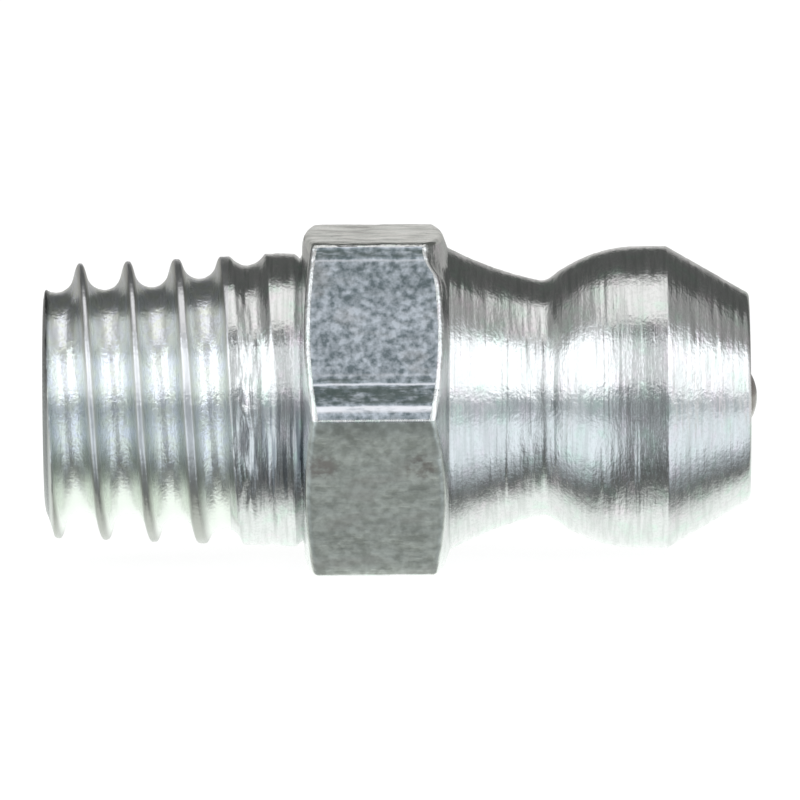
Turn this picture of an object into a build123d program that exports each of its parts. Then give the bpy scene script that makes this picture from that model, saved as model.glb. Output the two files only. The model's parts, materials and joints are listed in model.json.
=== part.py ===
"""Straight grease nipple: taper thread, hexagon, ball head, and a spring-loaded check ball.

The nipple lies as it comes to rest, on one flat of its hexagon. Its axis is the X axis, the
head points to +X and the thread to -X, and +Z is up. The origin is on the axis, in the undercut
between the thread and the hexagon. All sizes are in millimetres, angles in degrees.
"""
from build123d import *
from math import atan, cos, degrees, radians, sin, sqrt, tan
import os

# Thread: M6 x 1 taper, right-hand, rolled. The root of the groove climbs in legs through these
# points, given along the axis and as radii. A helix starts over the top of the nipple, so each
# leg but the last has whole turns. The last three legs are the run-out.
PITCH = 1.0
SHANK_LENGTH = 5.35             # origin to the end of the thread
TIP_CREST_R = 2.87
BIG_CREST_R = 3.04              # at the collar
TIP_R = 2.28
TIP_BEVEL = 0.2
GROOVE_ROOT = ((-6.07, 2.24), (-3.07, 2.385), (-2.07, 2.56), (-1.07, 2.83), (-0.57, 3.1))
GROOVE_ROOT_ROUND = 0.37
GROOVE_CUT_HEIGHT = 0.72        # root to the outer edge of the cut, clear of the crests
FLANK_ANGLE = 15                # flank to the normal of the axis

# Collar between the thread and the hexagon
COLLAR_R = 3.07
COLLAR_START_X = -0.82
COLLAR_END_X = -0.09
UNDERCUT = (0.03, 2.95)         # bottom of the groove where the collar meets the hexagon

# Hexagon
HEX_ACROSS_FLATS = 7.0
HEX_START_X = 0.08
HEX_END_X = 3.12
HEX_EDGE_ROUND = 0.06
SEAT_RING_R = 3.3               # flat ring inside the chamfer on the thread side
SEAT_CHAMFER_ANGLE = 17         # both chamfers are measured from the hexagon's face
HEAD_CHAMFER_ANGLE = 20
CHAMFER_OVERCUT = 0.2           # the chamfer cuts run past the hexagon's corners by this

# Neck and ball head
NECK_START_R = 3.17
NECK_HOLLOW = (4.19, 2.7)       # a point in the hollow of the neck: along the axis, radius
HEAD_START_X = 5.177
HEAD_START_R = 2.44
HEAD_START_ROUND = 0.25         # fillet where the neck meets the head
HEAD_R = 3.16
HEAD_ROUND = 2.92               # rounding that climbs from the neck to the land
LAND_LENGTH = 0.59
NOSE_ANGLE = 30                 # nose cone to the axis
NOSE_X = 9.42
NOSE_BEVEL = 0.08

# Grease way
BALL_R = 0.95
INLET_R = 0.645
INLET_LAND = 0.06
SEAT_ANGLE = 50                 # seat cone to the axis
SEAT_GAP = 0.02
BORE_R = 1.2
LIP_LENGTH = 0.35               # the tip is closed in over the end of the spring
LIP_R = 0.8

# Spring
WIRE_R = 0.15
WIRE_SIDES = 6                  # the wire is too thin to need a rounder section
COIL_R = 0.95                   # to the middle of the wire
END_TURNS = 1                   # closed turns at each end
END_PITCH = 0.34
OPEN_TURNS = 4
SPRING_GAP = 0.03               # from the ball and from the lip

tip_x = -SHANK_LENGTH
hex_corner_r = HEX_ACROSS_FLATS / sqrt(3)
head_start = (HEAD_START_X, HEAD_START_R)
head_round_drop = HEAD_ROUND - HEAD_R + HEAD_START_R
land_x = HEAD_START_X + sqrt(HEAD_ROUND**2 - head_round_drop**2)
cone_x = land_x + LAND_LENGTH
nose_r = HEAD_R - (NOSE_X - cone_x) * tan(radians(NOSE_ANGLE))

seat_x = NOSE_X - INLET_LAND
seat_apex_x = seat_x + INLET_R / tan(radians(SEAT_ANGLE))
bore_end_x = seat_apex_x - BORE_R / tan(radians(SEAT_ANGLE))
ball_x = seat_apex_x - (BALL_R + SEAT_GAP) / sin(radians(SEAT_ANGLE))
lip_x = tip_x + LIP_LENGTH


# --- body: one turned piece with a rolled thread ---
with BuildPart() as body:
    # shank, collar, neck and head
    with BuildSketch(Plane.XZ):
        with BuildLine():
            Polyline(
                (HEX_END_X, NECK_START_R),
                (HEX_END_X, COLLAR_R),
                (HEX_START_X, COLLAR_R),
                UNDERCUT,
                (COLLAR_END_X, COLLAR_R),
                (COLLAR_START_X, COLLAR_R),
                (COLLAR_START_X, BIG_CREST_R),
                (tip_x + TIP_BEVEL, TIP_CREST_R),
                (tip_x, TIP_R),
                (tip_x, 0),
                (NOSE_X, 0),
                (NOSE_X, nose_r - NOSE_BEVEL / 2),
                (NOSE_X - NOSE_BEVEL, nose_r + NOSE_BEVEL * tan(radians(NOSE_ANGLE))),
                (cone_x, HEAD_R),
                (land_x, HEAD_R),
            )
            RadiusArc((land_x, HEAD_R), head_start, -HEAD_ROUND)
            ThreePointArc(head_start, NECK_HOLLOW, (HEX_END_X, NECK_START_R))
        make_face()
        fillet(vertices().sort_by_distance(head_start)[0], HEAD_START_ROUND)
    revolve(axis=Axis.X)

    # hexagon of drawn bar
    with BuildSketch(Plane.YZ.offset(HEX_START_X)):
        RegularPolygon(HEX_ACROSS_FLATS / 2, 6, major_radius=False)
        fillet(vertices(), HEX_EDGE_ROUND)
    extrude(amount=HEX_END_X - HEX_START_X)

    # turned chamfers at both ends of the hexagon
    clear_r = hex_corner_r + CHAMFER_OVERCUT
    with BuildSketch(Plane.XZ):
        with BuildLine():
            seat_depth = (clear_r - SEAT_RING_R) * tan(radians(SEAT_CHAMFER_ANGLE))
            Polyline(
                (HEX_START_X, SEAT_RING_R),
                (HEX_START_X + seat_depth, clear_r),
                (HEX_START_X, clear_r),
                close=True,
            )
        make_face()
        with BuildLine():
            head_depth = (clear_r - NECK_START_R) * tan(radians(HEAD_CHAMFER_ANGLE))
            Polyline(
                (HEX_END_X, NECK_START_R),
                (HEX_END_X - head_depth, clear_r),
                (HEX_END_X, clear_r),
                close=True,
            )
        make_face()
    revolve(axis=Axis.X, mode=Mode.SUBTRACT)

    # grease way: inlet, seat cone, bore, and the hole in the closed-in tip
    with BuildSketch(Plane.XZ):
        with BuildLine():
            Polyline(
                (NOSE_X, 0),
                (NOSE_X, INLET_R),
                (seat_x, INLET_R),
                (bore_end_x, BORE_R),
                (lip_x, BORE_R),
                (lip_x, LIP_R),
                (tip_x, LIP_R),
                (tip_x, 0),
                close=True,
            )
        make_face()
    revolve(axis=Axis.X, mode=Mode.SUBTRACT)

    # rolled thread
    flank = radians(FLANK_ANGLE)
    root_half = GROOVE_ROOT_ROUND * cos(flank)
    root_height = GROOVE_ROOT_ROUND * (1 - sin(flank))
    cut_half = root_half + (GROOVE_CUT_HEIGHT - root_height) * tan(flank)
    with BuildLine() as groove:
        for (start_x, start_r), (end_x, end_r) in zip(GROOVE_ROOT, GROOVE_ROOT[1:]):
            rise = (end_r - start_r) / (end_x - start_x)
            Helix(
                pitch=PITCH * sqrt(1 + rise**2),
                height=end_x - start_x,
                radius=start_r,
                center=(start_x, 0, 0),
                direction=(1, 0, 0),
                cone_angle=degrees(atan(rise)),
            )
    with BuildSketch(Plane(origin=groove.line @ 0, x_dir=(1, 0, 0), z_dir=(0, -1, 0))):
        with BuildLine():
            ThreePointArc((-root_half, root_height), (0, 0), (root_half, root_height))
            Polyline(
                (root_half, root_height),
                (cut_half, GROOVE_CUT_HEIGHT),
                (-cut_half, GROOVE_CUT_HEIGHT),
                (-root_half, root_height),
            )
        make_face()
    sweep(path=groove.line, is_frenet=True, mode=Mode.SUBTRACT)

# --- check ball, closed against its seat and standing a little out of the nose ---
with BuildPart() as check_ball:
    with BuildSketch(Plane.XZ):
        with BuildLine():
            CenterArc((ball_x, 0), BALL_R, 0, 180)
            Line((ball_x - BALL_R, 0), (ball_x + BALL_R, 0))
        make_face()
    revolve(axis=Axis.X)

# --- spring, from the closed-in tip to the back of the ball ---
ball_reach = sqrt((BALL_R + WIRE_R + SPRING_GAP) ** 2 - COIL_R**2)
spring_start_x = lip_x + WIRE_R + SPRING_GAP
spring_end_x = ball_x - ball_reach
end_length = END_TURNS * END_PITCH
open_pitch = (spring_end_x - spring_start_x - 2 * end_length) / OPEN_TURNS
with BuildPart() as spring:
    with BuildLine() as coil:
        turn_x = spring_start_x
        for turns, pitch in ((END_TURNS, END_PITCH), (OPEN_TURNS, open_pitch), (END_TURNS, END_PITCH)):
            Helix(pitch, turns * pitch, COIL_R, center=(turn_x, 0, 0), direction=(1, 0, 0))
            turn_x += turns * pitch
    with BuildSketch(Plane(origin=coil.line @ 0, z_dir=coil.line % 0)):
        RegularPolygon(WIRE_R, WIRE_SIDES)
    sweep(path=coil.line, is_frenet=True)

os.makedirs("parts", exist_ok=True)
for name, piece in (("body", body), ("check_ball", check_ball), ("spring", spring)):
    piece.part.label = name
    export_step(piece.part, f"parts/{name}.step")
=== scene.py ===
"""Straight grease nipple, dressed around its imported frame: plated skin, check ball, spring and studio.

Laid out as an add-on and run as a script. Every length is in metres, in the frame's own axes: x runs
along the nipple's axis to the ball head, z is up, and 0 is in the undercut between thread and hexagon.
Places round the axis are turns, from 0 at the top over the front (0.25) to the bottom (0.5).
"""
import json
from collections import namedtuple
from math import atan, ceil, cos, floor, hypot, pi, radians, sin, sqrt, tan

import bmesh
import bpy
from bpy.props import FloatProperty, FloatVectorProperty, PointerProperty
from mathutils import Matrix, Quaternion, Vector, noise


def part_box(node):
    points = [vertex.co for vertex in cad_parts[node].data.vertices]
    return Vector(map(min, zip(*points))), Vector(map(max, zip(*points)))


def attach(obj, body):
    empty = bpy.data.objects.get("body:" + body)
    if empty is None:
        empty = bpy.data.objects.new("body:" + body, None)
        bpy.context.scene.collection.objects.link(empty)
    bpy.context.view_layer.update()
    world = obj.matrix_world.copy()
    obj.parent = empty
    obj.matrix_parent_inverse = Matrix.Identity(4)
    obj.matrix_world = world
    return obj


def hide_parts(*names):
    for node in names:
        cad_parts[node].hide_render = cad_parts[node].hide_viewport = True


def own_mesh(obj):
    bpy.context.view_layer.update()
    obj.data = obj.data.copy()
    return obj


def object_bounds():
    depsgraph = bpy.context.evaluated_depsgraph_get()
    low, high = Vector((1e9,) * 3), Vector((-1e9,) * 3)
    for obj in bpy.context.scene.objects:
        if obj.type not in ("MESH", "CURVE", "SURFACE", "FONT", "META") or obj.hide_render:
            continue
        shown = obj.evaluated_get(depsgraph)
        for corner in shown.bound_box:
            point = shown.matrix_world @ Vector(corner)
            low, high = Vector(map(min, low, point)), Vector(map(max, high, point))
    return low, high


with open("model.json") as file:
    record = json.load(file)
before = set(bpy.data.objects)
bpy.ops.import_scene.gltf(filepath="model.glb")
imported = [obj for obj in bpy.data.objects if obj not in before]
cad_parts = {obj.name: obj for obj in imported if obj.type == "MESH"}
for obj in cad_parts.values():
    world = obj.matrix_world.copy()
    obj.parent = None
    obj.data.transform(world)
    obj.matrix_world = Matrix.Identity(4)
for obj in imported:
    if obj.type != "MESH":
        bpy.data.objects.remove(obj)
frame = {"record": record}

bl_info = {
    "name": "Grease Nipple",
    "version": (1, 0, 0),
    "blender": (4, 5, 0),
    "location": "3D View > Sidebar > Nipple",
    "description": "Makes a straight grease nipple: plated body, check ball, spring and studio",
    "category": "Object",
}

MM = 0.001
cad_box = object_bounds()
mounts = {mount["name"]: mount for mount in frame["record"]["mounts"]}

# Thread and collar
PITCH = 1.0 * MM
TIP_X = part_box("body")[0].x
TIP_BEVEL = 0.2 * MM
TIP_R = 2.28 * MM
TIP_ROUND = 0.1 * MM
BEVEL_SLOPE = 3  # radius over length
TIP_RADII = (1.3 * MM, 1.8 * MM, 2.0 * MM)  # rings of the tip's face, which is sunk a little and dished
TIP_SINK = 0.012 * MM
TIP_DISH = 0.01 * MM
TIP_DISH_WIDTH = 0.1 * MM
COLLAR_R = mounts["thread_shank"]["dims"]["r_mm"] * MM
COLLAR_START_X = -0.82 * MM
COLLAR_END_X = -0.09 * MM
COLLAR_EDGE = 0.03 * MM
COLLAR_MARKS = 1.3  # how deep its tool marks are, with 1 for the other turned parts
BLANK = (  # the blank before the thread is rolled: along the axis, radius
    (TIP_X, TIP_R),
    (TIP_X + TIP_BEVEL, 2.87 * MM),
    (COLLAR_START_X - COLLAR_EDGE, 3.04 * MM),
    (COLLAR_START_X + COLLAR_EDGE, COLLAR_R),
)
GROOVE_FLOOR = (  # the groove's floor climbs through these: along the axis, radius
    (-6.07 * MM, 2.24 * MM),
    (-3.07 * MM, 2.385 * MM),
    (-2.07 * MM, 2.56 * MM),
    (-1.07 * MM, 2.83 * MM),
    (-0.57 * MM, 3.1 * MM),
)
FLOOR_ROUND = 0.37 * MM
FLANK = radians(15)
FLOOR_HALF = FLOOR_ROUND * cos(FLANK)
FLOOR_RISE = FLOOR_ROUND * (1 - sin(FLANK))
LAST_CREST_X = -1.46 * MM  # past this the groove only runs out
SMEAR_X = -1.08 * MM  # middle and half length of the metal smeared over the run-out
SMEAR_HALF = 0.24 * MM
UNDERCUT = (0.03 * MM, 2.95 * MM)

# Hexagon
APOTHEM = -mounts["spanner_flat"]["pos_m"][2]
FLAT_HALF = APOTHEM * tan(pi / 6)
CORNER_ROUND = 0.06 * MM
HEX_START_X = 0.08 * MM
HEX_END_X = 3.12 * MM
SHOULDER_R = 3.3 * MM
SHOULDER_CHAMFER = radians(17)
NECK_START_R = 3.17 * MM
HEAD_SIDE_CHAMFER = radians(20)
END_ROUND = 0.14 * MM  # worn edges where the chamfers meet the flats
KNOCK_TURN = 0.092  # a knock in the corner over the flat with drawn lines, on the head's side
KNOCK_HALF = 0.018
KNOCK_DEPTH = 0.15 * MM

# Neck, ball head and nose
NECK_HOLLOW = (4.19 * MM, 2.7 * MM)
HEAD_START = (5.177 * MM, 2.44 * MM)
HEAD_START_FILLET = 0.14 * MM
HEAD_R = mounts["coupler_head"]["dims"]["r_mm"] * MM
HEAD_ROUND = 2.92 * MM
LAND_X = HEAD_START[0] + sqrt(HEAD_ROUND**2 - (HEAD_ROUND - HEAD_R + HEAD_START[1]) ** 2)
CONE_X = LAND_X + 0.59 * MM
LAND_MARKS = 0.5  # how deep the land's tool marks are, with 1 for the other turned parts
NOSE_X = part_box("body")[1].x
NOSE_ANGLE = radians(30)
NOSE_BEVEL = 0.08 * MM
NOSE_RINGS = ((1.7 * MM, 0.008 * MM), (1.3 * MM, 0.0), (0.95 * MM, 0.006 * MM))  # radius and dishing

# Places on the skin: where shade is painted on the collar, and where the flats are stained
# Painted shade: the turned zinc darkens round this place, over this reach, low on the front of the collar by
# the hexagon's shoulder.
COLLAR_SHADE_SPOT = (-0.45 * MM, -2.95 * MM, -0.8 * MM)
COLLAR_SHADE_REACH = 1.5 * MM
STAINS = ((0.45 * MM, -3.43 * MM, -1.05 * MM), (2.53 * MM, -3.43 * MM, -1.05 * MM))
STAIN_REACH = 0.45 * MM

# Grease way
INLET_R = 0.645 * MM
INLET_LAND = 0.06 * MM
BALL_CONE = radians(50)
BORE_R = 1.2 * MM
LIP_LENGTH = 0.35 * MM
LIP_R = 0.8 * MM
HOLE_EDGE = 0.03 * MM  # width of the broken edges round both holes, and their depths
INLET_EDGE_DEPTH = 0.02 * MM
LIP_EDGE_DEPTH = 0.04 * MM

# Spring
WIRE_R = 0.15 * MM
WIRE_SHARE = 0.96  # made thinner by this, to stay clear of what it lies against
WIRE_SIDES = 14
COIL_R = 0.95 * MM
COIL_TURNS = ((1, 0.34 * MM), (4, None), (1, 0.34 * MM))  # turns and pitch; None takes what is left
COIL_STEPS = 40  # points along one turn

# Check ball
BALL_CUTS = 27
BALL_PIT = 0.02 * MM

# Grains of the skin's marks and waves: length along the axis, width round it in turns, number of the noise
CREST_GRAIN = (0.6 * MM, 0.05, 1)
ROLLING_MARKS = (0.09 * MM, 0.09, 2)
ROLLING_STREAKS = (0.2 * MM, 0.04, 3)
SMEARS = (0.09 * MM, 0.018, 4)
FLAT_WAVES = (0.45 * MM, 0.012, 8)
FLAT_RIPPLES = (0.16 * MM, 0.006, 9)
LINE_BENDS = (0.5 * MM, 1.0, 12)
TURNED_WAVES = (0.16 * MM, 0.018, 15)

# Spacing of the mesh's rings along the axis
BEVEL_STEP = 0.022 * MM
RUN_OUT_STEP = 0.027 * MM
COLLAR_STEP = 0.04 * MM
HEAD_STEP = 0.03 * MM
BORE_STEP = 1.6 * MM
HEX_STEP = 0.035  # part of the hexagon's length
FLAT_STEP = 0.16 * MM  # and of its points across a flat
SHARP_ANGLE = radians(42)  # edges sharper than this aren't shaded smooth

# Studio
TABLE_HALF = 1.5
TABLE_GAP = 0.01 * MM  # under the nipple
CLIP = (0.01, 10)  # nearest and farthest that the camera sees


def size(name, default_mm, description):
    """A length that a user may change."""
    default = default_mm * MM
    return FloatProperty(name=name, description=description, default=default, unit="LENGTH", precision=6)


def share(name, default, description):
    """A plain number between 0 and 1."""
    return FloatProperty(name=name, description=description, default=default, min=0, max=1)


def angle(name, default_degrees, description):
    """An angle that a user may change."""
    default = radians(default_degrees)
    return FloatProperty(name=name, description=description, default=default, subtype="ANGLE")


def colour(name, default, description):
    """A colour that a user may change."""
    return FloatVectorProperty(
        name=name, description=description, default=default, subtype="COLOR", min=0, max=1
    )


class NippleSurface(bpy.types.PropertyGroup):
    """Depths of the marks and wear on the nipple's skin."""

    turning_depth: size("Turning marks", 0.0065, "Depth of the tool marks round the turned parts")
    turning_width: size("Mark spacing", 0.08, "Distance between one tool mark and the next")
    turned_waves: size("Turned waves", 0.005, "Height of the shallow waves in the turned parts")
    rolled_depth: size("Rolling marks", 0.009, "Depth of the marks along the rolled thread's floor")
    crest_wear: size("Crest wear", 0.05, "How far the thread's crests are knocked down in places")
    crest_round: size("Crest rounding", 0.15, "Rounding where the groove meets the crest")
    flat_waves: size("Flat waves", 0.012, "Height of the waves in the hexagon's drawn flats")
    corner_fall: size("Corner fall", 0.025, "How far the flats fall off towards the corners")
    smear_height: size("Smear", 0.045, "Height of the metal smeared where the rolled groove runs out")


class NippleFinish(bpy.types.PropertyGroup):
    """Colours of the metals, and of the light and shade painted on them."""

    zinc: colour("Zinc", (0.76, 0.77, 0.77), "The zinc plate on the turned parts")
    zinc_pink: colour("Zinc pink", (0.79, 0.75, 0.78), "Pink tint of the passivated plate")
    zinc_green: colour("Zinc green", (0.70, 0.79, 0.74), "Green tint of the passivated plate")
    dull_zinc: colour("Dull zinc", (0.60, 0.62, 0.61), "Dull specks in the plate")
    # Painted shade: the colour that the collar darkens to, low on its front by the hexagon.
    painted_collar_shade: colour("Thin zinc", (0.34, 0.36, 0.38), "Thin dark plate in the corner by the hexagon")
    flat_zinc: colour("Flat zinc", (0.80, 0.84, 0.80), "The plate on the hexagon's flats")
    flat_dark: colour("Flat pits", (0.54, 0.57, 0.53), "Its pits")
    # Painted light: the lit copy of the flats' plate, on the top, bottom and upper back flats. The lower
    # flats get the pits and plate as a darker copy with painted shade.
    painted_lit_flat: colour("Bright flat", (0.94, 0.94, 0.90), "The plate on the smoother flats")
    flat_stain: colour("Flat stain", (0.42, 0.39, 0.37), "Brownish stain on the hexagon's flats")
    lined_zinc: colour("Lined flat", (0.60, 0.65, 0.71), "The plate on the flat with drawn lines")
    lined_dark: colour("Lined flat pits", (0.18, 0.22, 0.24), "Its pits")
    # Painted highlight on the ridges between the drawn lines.
    ridge_highlight: colour("Ridges", (0.96, 0.96, 1.0), "The bright ridges between the drawn lines")
    # Painted shade in the drawn lines.
    line_shade: colour("Drawn lines", (0.10, 0.13, 0.12), "The drawn lines themselves")
    floor_blue: colour("Thread blue", (0.86, 0.89, 0.94), "Blue tint of the plate on the groove's floor")
    floor_green: colour("Thread green", (0.86, 0.90, 0.85), "Green tint of the plate on the groove's floor")
    # Painted shade on the thread's flanks.
    painted_flank_shade: colour("Thread flanks", (0.64, 0.65, 0.61), "The plate high on the thread's flanks")
    # A greener painted reflection on the groove's floor underneath.
    painted_under_tint: colour("Thread underneath", (0.84, 0.88, 0.83), "Greener plate on the floor underneath")
    # Painted shade on the thread's crests and flanks underneath.
    painted_under_shade: colour("Crests underneath", (0.45, 0.46, 0.43), "Dull plate on the crests underneath")
    # The tip's edge is coloured this dark all round.
    tip_zinc: colour("Tip edge", (0.17, 0.18, 0.18), "Thin dark plate round the edge of the tip")
    crest_zinc: colour("Thread crests", (0.78, 0.79, 0.81), "Worn plate on the thread's crests")
    bore_steel: colour("Bore steel", (0.36, 0.35, 0.33), "Bare steel inside the grease way")
    ball_steel: colour("Ball steel", (0.36, 0.33, 0.31), "The check ball")
    spring_steel: colour("Spring steel", (0.42, 0.42, 0.43), "The drawn spring wire")


class NippleStudio(bpy.types.PropertyGroup):
    """Camera and table."""

    elevation: angle("Elevation", 6.6, "How far the camera looks down")
    roll: angle("Roll", 0.47, "How far the camera leans, which lifts the ball head in the picture")
    distance: size("Distance", 330, "From the camera to the nipple")
    picture_scale: size("Picture width", 16.77, "Width of the picture at the nipple")
    look_x: size("Look at", 2.10, "Place along the axis in the middle of the picture")
    look_z: size("Look height", -0.023, "Height in the middle of the picture")
    table_glow: share("Table glow", 0.93, "Brightness of the lit table itself")
    table_grey: share("Table paint", 0.2, "How much of the studio's light the table adds")


# ---------------- shape


def along(points, x):
    """Height at x on a line through points, flat beyond its ends."""
    if x <= points[0][0]:
        return points[0][1]
    for (x0, y0), (x1, y1) in zip(points, points[1:]):
        if x <= x1:
            return y0 + (y1 - y0) * (x - x0) / (x1 - x0)
    return points[-1][1]


def smooth_min(a, b, rounding):
    """The lower of a and b, with the corner where they cross rounded off."""
    overlap = max(rounding - abs(a - b), 0)
    return min(a, b) - overlap * overlap / (4 * rounding)


def spaced(start, end, step):
    """Places from start to end, both ends included, about one step apart."""
    count = max(1, round(abs(end - start) / step))
    return [start + (end - start) * i / count for i in range(count + 1)]


def grain(x, turn, x_width, turn_width, layer):
    """Smooth noise from -1 to 1, in grains x_width long and turn_width wide round the axis."""
    swing = 1 / (2 * pi * turn_width)
    return noise.noise(
        Vector((x / x_width + 31.7 * layer, swing * cos(2 * pi * turn), swing * sin(2 * pi * turn)))
    )


def groove_radius(x, turn):
    """Radius of the nearest groove's surface at x, over its floor or up a flank."""
    nearest = (x - GROOVE_FLOOR[0][0]) / PITCH - turn
    lowest = 1.0  # clear of every radius
    for number in (floor(nearest), ceil(nearest)):
        middle = GROOVE_FLOOR[0][0] + (number + turn) * PITCH
        if middle > GROOVE_FLOOR[-1][0]:
            continue
        across = abs(x - middle)
        if across < FLOOR_HALF:
            rise = FLOOR_ROUND - sqrt(FLOOR_ROUND**2 - across**2)
        else:
            rise = FLOOR_RISE + (across - FLOOR_HALF) / tan(FLANK)
        lowest = min(lowest, along(GROOVE_FLOOR, middle) + rise)
    return lowest


def thread_radius(x, turn, surface):
    """Radius of the rolled thread at a place."""
    wear = max(0, grain(x, turn, *CREST_GRAIN) - 0.1) * surface.crest_wear
    crest = along(BLANK, x) - wear
    marks = grain(x, turn, *ROLLING_MARKS) + 0.7 * grain(x, turn, *ROLLING_STREAKS)
    return smooth_min(crest, groove_radius(x, turn), surface.crest_round) + surface.rolled_depth * marks


def run_out_radius(x, turn, surface):
    """Where the groove runs out into the collar, with the metal that the thread rolls smeared over it."""
    front = cos(2 * pi * (turn - 0.25)) ** 2 if 0 < turn < 0.5 else 0
    smear = max(0, 0.3 + grain(x, turn, *SMEARS)) * surface.smear_height * front
    middle = max(0, 1 - ((x - SMEAR_X) / SMEAR_HALF) ** 2)
    return min(thread_radius(x, turn, surface) + smear * middle, COLLAR_R)


def turned_radius(x, radius, turn, surface, depth):
    """A turned surface's radius at a place, with its tool marks."""
    width = surface.turning_width
    marks = grain(x, turn, width, 0.07, 5) + 0.9 * grain(x, turn, 2.7 * width, 0.05, 6)
    rings = 0.4 * grain(x, 0, 1.6 * width, 1.0, 7)
    torn = 3 * max(0, grain(x, turn, 0.9 * width, 0.2, 14) - 0.2)
    waves = surface.turned_waves * grain(x, turn, *TURNED_WAVES)
    return radius + surface.turning_depth * depth * (marks + rings - torn) + waves


def neck_radius(x):
    """The hollow of the neck, an arc through its two ends and the point in its hollow."""
    (x0, y0), (x1, y1), (x2, y2) = (HEX_END_X, NECK_START_R), NECK_HOLLOW, HEAD_START
    d = 2 * (x0 * (y1 - y2) + x1 * (y2 - y0) + x2 * (y0 - y1))
    q0, q1, q2 = x0**2 + y0**2, x1**2 + y1**2, x2**2 + y2**2
    centre_x = (q0 * (y1 - y2) + q1 * (y2 - y0) + q2 * (y0 - y1)) / d
    centre_y = (q0 * (x2 - x1) + q1 * (x0 - x2) + q2 * (x1 - x0)) / d
    arc_r = hypot(x0 - centre_x, y0 - centre_y)
    return centre_y - sqrt(arc_r**2 - (x - centre_x) ** 2)


def head_radius(x):
    """Ball, land and nose cone of the head, without the neck."""
    if x < LAND_X:
        return HEAD_R - HEAD_ROUND + sqrt(max(0, HEAD_ROUND**2 - (LAND_X - x) ** 2))
    if x < CONE_X:
        return HEAD_R
    return HEAD_R - (x - CONE_X) * tan(NOSE_ANGLE)


def neck_and_head_radius(x):
    """The neck and the head, with the fillet where they meet."""
    if abs(x - HEAD_START[0]) < 2 * HEAD_START_FILLET:
        return -smooth_min(-neck_radius(x), -head_radius(x), HEAD_START_FILLET)
    return neck_radius(x) if x < HEAD_START[0] else head_radius(x)


def flat_place(turn):
    """The flat that a turn is on, and the place across that flat from its middle."""
    flat = round(turn * 6)
    return flat % 6, APOTHEM * tan(2 * pi * (turn - flat / 6))


def hexagon_radius(turn):
    """Distance from the axis to the hexagon's side, with its rounded corners."""
    offset = abs(2 * pi * (turn - round(turn * 6) / 6))
    if APOTHEM * tan(offset) < FLAT_HALF - CORNER_ROUND * tan(pi / 6):
        return APOTHEM / cos(offset)
    centre = (APOTHEM - CORNER_ROUND) / cos(pi / 6)
    aside = centre * sin(pi / 6 - offset)
    return centre * cos(pi / 6 - offset) + sqrt(CORNER_ROUND**2 - aside**2)


LINED_FLAT = 1  # the flat with drawn lines along it
# Its lines from the upper corner down: place across it and height over a true flat, in mm, and tone, which
# sets the painted highlight (1) or painted shade (0) along that line
DRAWN_LINES = [(place * MM, height * MM, tone) for place, height, tone in (
    (-1.99, -0.022, 0.5),
    (-1.95, -0.002, 1.0),
    (-1.91, -0.016, 0.35),
    (-1.86, -0.016, 0.1),
    (-1.73, 0.0, 0.15),
    (-1.68, -0.002, 0.4),
    (-1.64, -0.010, 0.78),
    (-1.58, -0.004, 0.45),
    (-1.50, 0.0, 0.35),
    (-0.80, 0.0, 0.4),
    (-0.50, 0.0, 0.52),
    (0.92, 0.0, 0.5),
    (0.97, -0.004, 0.64),
    (1.02, 0.0, 0.45),
    (1.07, 0.0, 0.1),
    (1.13, 0.002, 0.25),
    (1.175, -0.008, 1.0),
    (1.22, -0.016, 0.15),
    (1.30, -0.012, 0.05),
    (1.60, 0.004, 0.1),
    (1.65, 0.004, 0.4),
    (1.69, -0.002, 1.0),
    (1.77, -0.018, 1.0),
    (1.83, -0.022, 0.5),
    (1.92, -0.028, 0.4),
    (1.985, -0.045, 0.6),
)]
CORNER_FALL_WIDTH = 0.35 * MM  # the other flats fall off this far from their corners
LINE_WANDER = 0.012 * MM
PIT_BUMP = 0.010 * MM
DRAWN_BUMP = 0.002 * MM


def flat_height(x, turn, surface):
    """How far the drawn surface stands over a true flat."""
    flat, place = flat_place(turn)
    waves = grain(x, turn, *FLAT_WAVES) + 0.5 * grain(x, turn, *FLAT_RIPPLES) - 0.7
    height = surface.flat_waves * waves
    if flat == LINED_FLAT:
        wander = LINE_WANDER * grain(x, 0, *LINE_BENDS)
        return height + along([line[:2] for line in DRAWN_LINES], place + wander)
    edge = max(0, abs(place) - FLAT_HALF + CORNER_FALL_WIDTH) / CORNER_FALL_WIDTH
    return height - surface.corner_fall * edge**1.5


def round_stations():
    """Turns at which every ring has a point: even across the flats, closer at their lines and corners."""
    def turn_at(flat, place):
        return flat / 6 + atan(place / APOTHEM) / (2 * pi)

    round_start = FLAT_HALF - CORNER_ROUND * tan(pi / 6)
    corner_turn = 1 / 12
    start_turn = turn_at(0, round_start)
    offsets = [turn_at(0, place) for place in spaced(0, round_start, FLAT_STEP)]
    offsets += [start_turn + (corner_turn - start_turn) * part for part in (0.4, 0.75, 1)]
    turns = {(flat / 6 + side * offset) % 1 for flat in range(6) for offset in offsets for side in (-1, 1)}
    lines = {turn_at(LINED_FLAT, place) for place, _, _ in DRAWN_LINES}
    spacing = 0.0011
    turns = {turn for turn in turns if all(abs(turn - line) > spacing for line in lines)}
    return sorted({round(turn, 7) for turn in turns | lines})


# ---------------- body mesh

# Places across one pitch of the thread, from the middle of the groove, as parts of the pitch
GROOVE_SIDE = (
    0.04, 0.075, 0.11, 0.15, 0.19, 0.23, 0.265, 0.3, 0.33, 0.36, 0.385, 0.405, 0.42, 0.435, 0.45, 0.475
)
GROOVE_COLUMNS = (-0.5, *[-part for part in reversed(GROOVE_SIDE)], 0.0, *GROOVE_SIDE)
TURNED_SKIN, THREAD_SKIN, SHADED_COPY_FLAT_SKIN, LIT_COPY_FLAT_SKIN, LINED_FLAT_SKIN, BORE_SKIN = range(6)
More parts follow.
